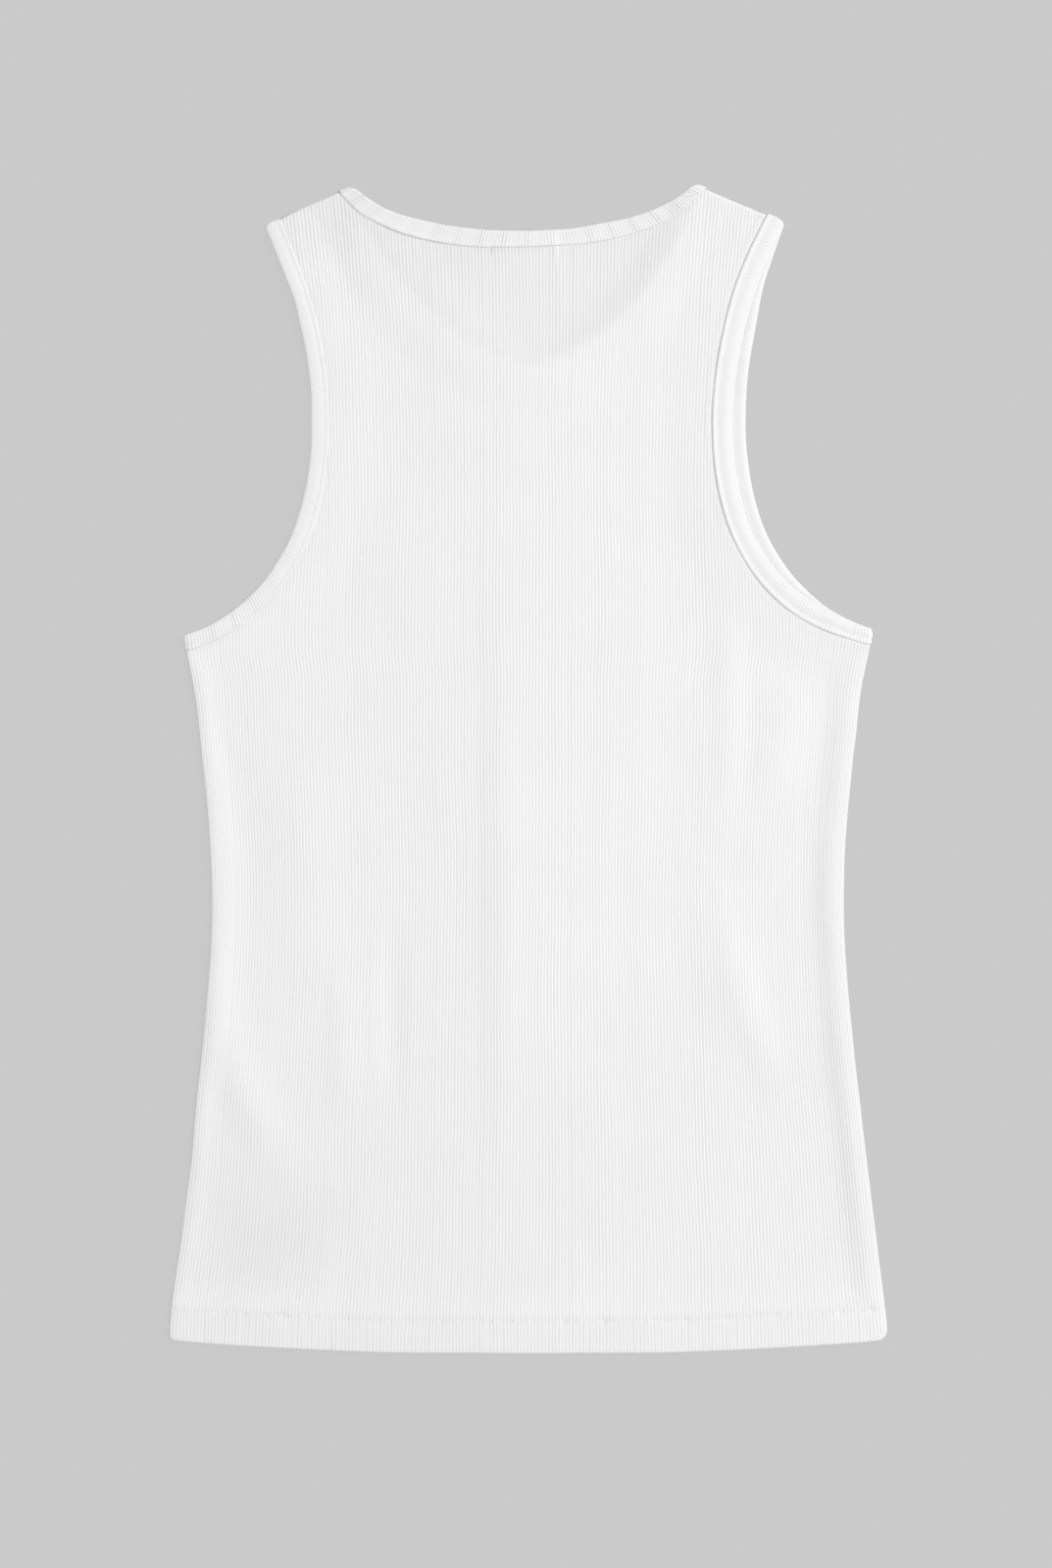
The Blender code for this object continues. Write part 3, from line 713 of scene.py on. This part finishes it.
# Rows across a 12 mm band: distance from its seam, and height over its middle, first on the
# upper side. That side has a roll beside the seam, a groove and a broad crown, which stand
# out most at the right armhole.
TOP_ROWS = (
    0.0, 0.15, 0.45, 1.1, 1.7, 2.3, 3.0, 3.9, 5.3,
    6.9, 8.4, 9.2, 9.8, 10.4, 11.0, 11.5, 11.85, 12.0,
)  # fmt: skip
RIGHT_TOP = (
    0.2, 0.7, 1.0, 1.14, 1.05, 0.86, 0.73, 0.79, 0.99,
    1.13, 1.0, 0.85, 0.7, 0.57, 0.45, 0.33, 0.18, 0,
)  # fmt: skip
LEFT_TOP = (
    0.5, 0.75, 0.92, 1.05, 0.97, 0.85, 0.95, 1.1, 1.22,
    1.25, 1.24, 1.21, 1.17, 1.11, 1.02, 0.88, 0.6, 0,
)  # fmt: skip
NECK_TOP = (
    0.6, 0.82, 0.95, 1.02, 1.02, 0.99, 0.97, 0.97, 1.0,
    1.03, 1.05, 1.06, 1.05, 1.03, 0.98, 0.88, 0.6, 0,
)  # fmt: skip
UNDER_ROWS = 11.9, 11.5, 10.9, 10.0, 9.0, 8.0, 7.0, 6.2, 5.2, 3.0, 0.0
UNDER = -0.25, -0.58, -0.86, -1.06, -1.12, -1.05, -0.91, -0.8, -0.76, -0.82, -0.95
BAND_ROWS = np.array(TOP_ROWS + UNDER_ROWS)
BAND_FULL, BAND_ROLL = 12.0, 3.0


def band_reach(width):
    """Distances from the seam of a band's rows for its width: only what lies past the roll
    beside the seam is wider or narrower."""
    roll = BAND_ROLL * np.minimum(1, width / 7)[:, None]
    far = (BAND_ROWS - BAND_ROLL)[None, :] / (BAND_FULL - BAND_ROLL)
    near = BAND_ROWS[None, :] / BAND_ROLL
    return np.where(near < 1, near * roll, roll + np.maximum(far, 0) * (width[:, None] - roll))


def rail_pair(seam, edge, count):
    """Both sides of a band's layer in plan, cut short at both ends by the turn that follows."""
    rails = []
    for line in (seam, edge):
        line = resampled(line, 400)
        rails.append(np.stack(lean(line[:, 0], line[:, 1]), 1))
    ends = []
    for k, beside in ((0, 4), (-1, -5)):
        along = [rail[k] - rail[beside] for rail in rails]
        along = [a / np.linalg.norm(a) for a in along]
        across = rails[1][k] - rails[0][k]
        away = np.array([across[1], -across[0]]) / np.linalg.norm(across)
        away *= math.copysign(1, away @ along[0])
        ends.append(away)
    trimmed = []
    for rail in rails:
        at = line_lengths(rail)
        cuts = []
        for k, beside, away in ((0, 4, ends[0]), (-1, -5, ends[1])):
            along = rail[k] - rail[beside]
            cuts.append((TURN_REACH - TURN_PROUD) / (along @ away / np.linalg.norm(along)))
        wanted = np.linspace(cuts[0], at[-1] - cuts[1], count)
        trimmed.append(np.stack([np.interp(wanted, at, rail[:, i]) for i in (0, 1)], 1))
    return trimmed, ends


def pulled_in(seam, edge, to_end, corner):
    near = np.clip(1 - to_end / corner, 0, 1)[:, None]
    across = seam - edge
    across /= np.linalg.norm(across, axis=1)[:, None]
    return edge + across * corner * (1 - np.sqrt(1 - near * near))


def band(name, layers, corners, material, seed, facing, top, rib_depth, shape):
    """A folded rib binding: one strip, folded along its middle over the panels' edges, in a
    ring that turns over from the back to the front at its ends. top is its upper side's
    form, rib_depth how deep its ribs are at each height, and shape lifts its upper layer.
    """
    (back_edge, back_seam), (front_edge, front_seam) = layers
    step = BAND_PITCH / RIB_STEPS
    half = BAND_THICK / 2
    back_count = int(line_lengths(back_edge)[-1] / step)
    front_count = int(line_lengths(front_edge)[-1] / step)
    back = rail_pair(offset(back_seam, -SEAM_GAP), back_edge, back_count)
    front = rail_pair(offset(front_seam, -SEAM_GAP)[::-1], front_edge[::-1], front_count)
    seams, edges, outs, centre_z = [], [], [], []
    turn_steps = 12
    middle = REST_BANDS / 2 + half
    for (rails, ends), (next_rails, next_ends), side in ((back, front, 1), (front, back, -1)):
        first, last = corners[::side]
        seam, edge = rails
        count = len(seam)
        for corner, order in ((first, 1), (last, -1)):
            at = line_lengths(edge[::order])[::order] + TURN_REACH
            edge = pulled_in(seam, edge, at, corner)
        level = np.full(count, middle + side * TURN_RADIUS)
        seams.append(seam)
        edges.append(edge)
        outs.append(np.tile((0.0, 0.0, float(side)), (count, 1)))
        centre_z.append(level)
        share = np.arange(1, turn_steps) / turn_steps
        angle = math.pi * (0.5 - share) * side
        towards = ends[1] * (1 - share)[:, None] + next_ends[0] * share[:, None]
        towards /= np.linalg.norm(towards, axis=1)[:, None]
        out = np.concatenate([towards * np.cos(angle)[:, None], np.sin(angle)[:, None]], 1)
        turned = []
        for rail, following in zip(rails, next_rails):
            flat = rail[-1] * (1 - share)[:, None] + following[0] * share[:, None]
            turned.append(flat + out[:, :2] * TURN_RADIUS)
        turned[0] = turned[0] * (1 - TURN_CLEAR) + turned[1] * TURN_CLEAR
        turned[1] = pulled_in(turned[0], turned[1], TURN_REACH * (1 - np.cos(angle)), last)
        seams.append(turned[0])
        edges.append(turned[1])
        outs.append(out)
        centre_z.append(middle + out[:, 2] * TURN_RADIUS)
    seam, edge = np.vstack(seams), np.vstack(edges)
    out, level = np.vstack(outs), np.concatenate(centre_z)
    length = line_lengths(np.vstack([(seam + edge) / 2, (seam[:1] + edge[:1]) / 2]))
    total = length[-1]
    length = length[:-1]
    ribs = round(total / BAND_PITCH)
    phase = length / total * ribs
    turns = 2 * math.pi * length / total
    rng = np.random.default_rng(seed)
    uneven, puff = np.zeros(len(seam)), np.zeros(len(seam))
    for k in range(3, 22):
        uneven += 0.05 * math.sqrt(8 / k) * np.sin(k * turns + rng.uniform(0, 6.28))
        puff += 0.022 * np.sin(k * turns + rng.uniform(0, 6.28))
    across = edge - seam
    width = np.linalg.norm(across, axis=1)
    across = across / width[:, None]
    groove = (1 - rib_profile(phase)) * (1 + 0.2 * np.sin(phase * 1.7))
    form = np.array(top + UNDER)
    high = form[None, :] / half
    reach = band_reach(width) + (uneven - 0.08 * groove)[:, None] * smooth((BAND_ROWS - 9) / 3)
    cut = rib_depth(edge[:, 1]) * groove
    cut = cut[:, None] * np.clip(np.abs(high) * 1.6, 0, 1)
    thick = form[None, :] + np.sign(high) * (puff[:, None] - cut)
    flat = seam[:, None, :] + across[:, None, :] * reach[..., None]
    points = np.concatenate([flat, np.repeat(level[:, None, None], reach.shape[1], 1)], 2)
    points = points + out[:, None, :] * thick[..., None]
    upper = smooth((level[:, None] - 1.2) / 2.4)
    points[..., 2] += upper * shape(points[..., 0], points[..., 1])
    number = np.arange(reach.size).reshape(reach.shape)
    following = np.roll(number, -1, axis=0)
    quads = np.stack([number[:, :-1], number[:, 1:], following[:, 1:], following[:, :-1]], -1)
    faces = quads.reshape(-1, 4)[:, ::facing]
    uv = np.stack([np.repeat(phase[:, None], reach.shape[1], 1), reach * np.sign(high)], -1)
    none = np.zeros_like(reach)
    cloth = {
        "seam": none + 20,
        "along": none,
        "needle": none,
        "shade": shade(points[..., 0], points[..., 1], -1),
    }
    return cloth_object(name, points.reshape(-1, 3), faces, uv, cloth, material), total


def knit(name, colour, translucency):
    """Cotton rib: soft fibres, rows of small chevron stitches, and needle holes at the seams, sunk
    in the bump and darkened with painted shade; its colour also carries the painted light and
    shade of the cloth's shade values.
    """
    material = bpy.data.materials.new(name)
    material.use_nodes = True
    tree = material.node_tree
    nodes, links = tree.nodes, tree.links
    nodes.clear()

    def node(kind, **values):
        made = nodes.new(kind)
        for key, value in values.items():
            setattr(made, key, value)
        return made

    def math_node(operation, *inputs):
        made = node("ShaderNodeMath", operation=operation)
        for socket, value in zip(made.inputs, inputs):
            if isinstance(value, (int, float)):
                socket.default_value = value
            else:
                links.new(value, socket)
        return made.outputs[0]

    def attribute(key):
        return node("ShaderNodeAttribute", attribute_name=key).outputs["Fac"]

    def noise(scale, detail):
        made = node("ShaderNodeTexNoise")
        made.inputs["Scale"].default_value = scale
        made.inputs["Detail"].default_value = detail
        links.new(place.outputs["Object"], made.inputs["Vector"])
        return made.outputs["Fac"]

    place = node("ShaderNodeTexCoord")
    split = node("ShaderNodeSeparateXYZ")
    links.new(node("ShaderNodeUVMap", uv_map="cloth").outputs[0], split.inputs[0])
    rib = math_node("MULTIPLY", split.outputs[0], 1 / UV_SCALE)
    run = math_node("MULTIPLY", split.outputs[1], 1 / UV_SCALE)
    # chevrons: one stitch for every 0.95 mm along a rib, with its two legs slanting
    inside = math_node("ABSOLUTE", math_node("SUBTRACT", math_node("FRACT", rib), 0.5))
    slant = math_node("ADD", math_node("MULTIPLY", run, 1.05), math_node("MULTIPLY", inside, 1.4))
    wave = math_node("SINE", math_node("MULTIPLY", slant, 2 * math.pi))
    on_rib = math_node("SUBTRACT", 1.0, math_node("MULTIPLY", inside, 1.6))
    chevron = math_node("MULTIPLY", math_node("MULTIPLY", wave, on_rib), 0.035)
    fibre = math_node("MULTIPLY", noise(2600.0, 3.0), 0.03)
    # needle holes: a dotted line beside each seam
    off_line = math_node("ABSOLUTE", math_node("SUBTRACT", attribute("seam"), 1.5))
    on_line = math_node("SUBTRACT", 1.0, math_node("MULTIPLY", off_line, 2.0))
    on_line = math_node("MAXIMUM", on_line, 0.0)
    dots = math_node("SINE", math_node("MULTIPLY", attribute("along"), 2 * math.pi / 1.9))
    dots = math_node("MAXIMUM", math_node("SUBTRACT", dots, 0.1), 0.0)
    hole = math_node("MULTIPLY", math_node("MULTIPLY", on_line, dots), attribute("needle"))
    height = math_node("ADD", chevron, fibre)
    height = math_node("SUBTRACT", height, math_node("MULTIPLY", hole, 0.3))
    bump = node("ShaderNodeBump")
    bump.inputs["Strength"].default_value = 0.8
    bump.inputs["Distance"].default_value = MM
    links.new(height, bump.inputs["Height"])

    tone = node("ShaderNodeMapRange")
    tone.inputs["From Min"].default_value = 0.3
    tone.inputs["From Max"].default_value = 0.7
    tone.inputs["To Min"].default_value = 0.985
    tone.inputs["To Max"].default_value = 1.0
    links.new(noise(26.0, 4.0), tone.inputs["Value"])
    # The cloth's random tone, times the painted light and shade of its shade values
    level = math_node("MULTIPLY", tone.outputs["Result"], attribute("shade"))
    # Painted shade in the needle holes: darker in colour as well as sunk in the bump
    painted_hole_shade = math_node("SUBTRACT", 1.0, math_node("MULTIPLY", hole, 0.22))
    level = math_node("MULTIPLY", level, painted_hole_shade)
    shade = node("ShaderNodeVectorMath", operation="SCALE")
    shade.inputs[0].default_value = colour
    links.new(level, shade.inputs["Scale"])

    surface = node("ShaderNodeBsdfPrincipled")
    surface.inputs["Roughness"].default_value = 0.92
    surface.inputs["Specular IOR Level"].default_value = 0.2
    surface.inputs["Sheen Weight"].default_value = 0.08
    surface.inputs["Sheen Roughness"].default_value = 0.6
    through = node("ShaderNodeBsdfTranslucent")
    for shader, socket in ((surface, "Base Color"), (through, "Color")):
        links.new(shade.outputs["Vector"], shader.inputs[socket])
        links.new(bump.outputs["Normal"], shader.inputs["Normal"])
    mix = node("ShaderNodeMixShader")
    mix.inputs["Fac"].default_value = translucency
    links.new(surface.outputs[0], mix.inputs[1])
    links.new(through.outputs[0], mix.inputs[2])
    links.new(mix.outputs[0], node("ShaderNodeOutputMaterial").inputs["Surface"])
    return material


def hem_stitches(panel, name, material):
    """The visible thread of the hem: short runs that lie across the ribs."""
    length, gap, radius = 2.2, 0.65, 0.2
    width = 2 * float(side_width(np.array(STITCH_ROW)))
    count = int(width / (length + gap)) - 1
    rng = np.random.default_rng(21)
    start = (np.arange(count) + 0.5) * (length + gap) - count * (length + gap) / 2
    start += rng.uniform(-0.12, 0.12, count)
    t = np.linspace(0, 1, 7)
    share = (start[:, None] + t[None, :] * length) / (width / 2)
    row = np.full_like(share, STITCH_ROW) + rng.uniform(-0.12, 0.12, count)[:, None]
    x, y = panel.plan(share, row)
    mid = np.round((share + 1) / 2 * RIBS - 0.5) + 0.5
    away, _, which = panel.from_seams(x, y)
    z = panel.height(2 * mid / RIBS - 1, row, x, y, away, which)
    z = 0.5 * z + 0.5 * z.mean(1, keepdims=True)
    z += panel.up * (0.13 * np.sin(np.pi * t)[None, :] - 0.02)
    x, y = lean(x, y)
    centre = np.stack([x, y, z], -1)
    taper = radius * np.array([0.35, 0.85, 1, 1, 1, 0.85, 0.35])
    angles = np.arange(6) * math.pi / 3
    ring = np.stack([np.zeros(6), np.cos(angles), np.sin(angles)], -1)
    points = centre[:, :, None, :] + taper[None, :, None, None] * ring[None, None, :, :]
    number = np.arange(points.size // 3).reshape(count, 7, 6)
    a, b = number[:, :-1, :], np.roll(number, -1, 2)[:, :-1, :]
    c, d = np.roll(number, -1, 2)[:, 1:, :], number[:, 1:, :]
    faces = np.stack([a, b, c, d], -1).reshape(-1, 4)
    points = points.reshape(-1, 3)
    return cloth_object(name, points, faces, points[:, :2], {}, material)


def thread_material():
    material = bpy.data.materials.new("sewing_thread")
    material.use_nodes = True
    nodes, links = material.node_tree.nodes, material.node_tree.links
    shader = nodes["Principled BSDF"]
    shader.inputs["Roughness"].default_value = 0.7
    shader.inputs["Specular IOR Level"].default_value = 0.35
    place = nodes.new("ShaderNodeTexCoord")
    twist = nodes.new("ShaderNodeTexWave")
    twist.inputs["Scale"].default_value = 900.0
    twist.bands_direction = "DIAGONAL"
    links.new(place.outputs["Object"], twist.inputs["Vector"])
    # Painted shade along the twist: its grooves are painted darker and its ridges lighter,
    # following the bump
    ramp = nodes.new("ShaderNodeValToRGB")
    ramp.color_ramp.elements[0].color = (0.84, 0.84, 0.835, 1)
    ramp.color_ramp.elements[1].color = (0.93, 0.93, 0.92, 1)
    links.new(twist.outputs["Fac"], ramp.inputs["Fac"])
    links.new(ramp.outputs["Color"], shader.inputs["Base Color"])
    bump = nodes.new("ShaderNodeBump")
    bump.inputs["Distance"].default_value = 0.0001
    bump.inputs["Strength"].default_value = 0.6
    links.new(twist.outputs["Fac"], bump.inputs["Height"])
    links.new(bump.outputs["Normal"], shader.inputs["Normal"])
    return material


WHITE = (0.894, 0.894, 0.894)
BAND_WHITE = (0.8808, 0.8808, 0.8808)
jersey = knit("rib_jersey_white", WHITE, 0.04)
binding = knit("rib_binding_white", BAND_WHITE, 0.04)
thread = thread_material()

back = Panel(NECK_LINE, NECK_WIDTH, WIDE, NARROW, 1)
front = Panel(FRONT_NECK, NECK_BAND, NARROW, WIDE, -1)
back_cloth = back.build("back_rib_jersey", jersey)
front_cloth = front.build("front_rib_jersey", jersey)
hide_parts("back_panel")
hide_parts("front_panel")


def neck_form(x, y):
    """The neck band sinks with the back inside the scoop; a tack pulls it up."""
    return 0.6 * tack_relief(x, y) - sag(x, y)


neck_band, neck_length = band(
    "neck_rib_binding",
    [(BACK_NECK, BACK_NECK_SEAM), (FRONT_NECK, neck_seam(FRONT_NECK))],
    (NECK_CORNER, NECK_CORNER),
    binding,
    seed=41,
    facing=-1,
    top=NECK_TOP,
    rib_depth=lambda y: 0.55 + 0.25 * smooth((y - 306) / 12),
    shape=neck_form,
)
right_band, right_length = band(
    "armhole_binding_right",
    [(edge, armhole_seam(edge, RIGHT_BAND)) for edge in (NARROW, WIDE)],
    (TIP_CORNER, UNDERARM_CORNER),
    binding,
    seed=42,
    facing=1,
    top=RIGHT_TOP,
    rib_depth=lambda y: 0.2 + 0.2 * smooth((135 - y) / 45),
    shape=lambda x, y: 0 * x,
)
left_band, left_length = band(
    "armhole_binding_left",
    [(mirrored(edge), mirrored(armhole_seam(edge, LEFT_BAND))) for edge in (WIDE, NARROW)],
    (UNDERARM_CORNER, LEFT_TIP_CORNER),
    binding,
    seed=43,
    facing=-1,
    top=LEFT_TOP,
    rib_depth=lambda y: 0.18 + 0.35 * smooth((150 - y) / 60),
    shape=lambda x, y: -droop(x, y),
)
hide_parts("neck_band")
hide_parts("armhole_band_right")
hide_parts("armhole_band_left")

back_stitches = hem_stitches(back, "hem_stitches_back", thread)
front_stitches = hem_stitches(front, "hem_stitches_front", thread)

# Camera straight above, and a pale floor
PIXEL = 0.55 * MM  # what one pixel of the 1073 x 1600 view covers at the cloth
view = bpy.data.cameras.new("camera")
view.lens = 120
view.sensor_width = 36
camera = bpy.data.objects.new("camera", view)
distance = 1600 * PIXEL * view.lens / view.sensor_width
camera.location = (-2.5 * PIXEL, -15.2 * PIXEL, distance + 0.0035)
view.clip_start = 0.1
view.clip_end = 50
bpy.context.scene.collection.objects.link(camera)
bpy.context.scene.camera = camera

floor_mesh = bpy.data.meshes.new("floor")
floor_mesh.from_pydata([(-6, -6, 0), (6, -6, 0), (6, 6, 0), (-6, 6, 0)], [], [(0, 1, 2, 3)])
floor = bpy.data.objects.new("floor", floor_mesh)
bpy.context.scene.collection.objects.link(floor)
paper = bpy.data.materials.new("floor_paper")
paper.use_nodes = True
surface = paper.node_tree.nodes["Principled BSDF"]
surface.inputs["Base Color"].default_value = (0.04, 0.04, 0.04, 1)
surface.inputs["Roughness"].default_value = 1.0
surface.inputs["Specular IOR Level"].default_value = 0.0
# It gives off most of its own light, so hardly any shadow shows beside the cloth
surface.inputs["Emission Color"].default_value = (1, 1, 1, 1)
surface.inputs["Emission Strength"].default_value = 0.5488
floor_mesh.materials.append(paper)

key = bpy.data.lights.new("key", "SUN")
key.energy = 1.57
key.angle = math.radians(45)
key_object = bpy.data.objects.new("key", key)
key_object.rotation_euler = (math.radians(-15), math.radians(47), 0)
bpy.context.scene.collection.objects.link(key_object)

# A soft sky, brighter overhead
world = bpy.data.worlds.new("world")
bpy.context.scene.world = world
world.use_nodes = True
nodes, links = world.node_tree.nodes, world.node_tree.links
up = nodes.new("ShaderNodeSeparateXYZ")
links.new(nodes.new("ShaderNodeTexCoord").outputs["Generated"], up.inputs[0])
sky = nodes.new("ShaderNodeMapRange")
sky.inputs["To Min"].default_value = 0.4
sky.inputs["To Max"].default_value = 0.86
links.new(up.outputs["Z"], sky.inputs["Value"])
links.new(sky.outputs["Result"], nodes["Background"].inputs["Strength"])
nodes["Background"].inputs["Color"].default_value = (1, 1, 1, 1)
bpy.context.scene.view_settings.view_transform = "Standard"
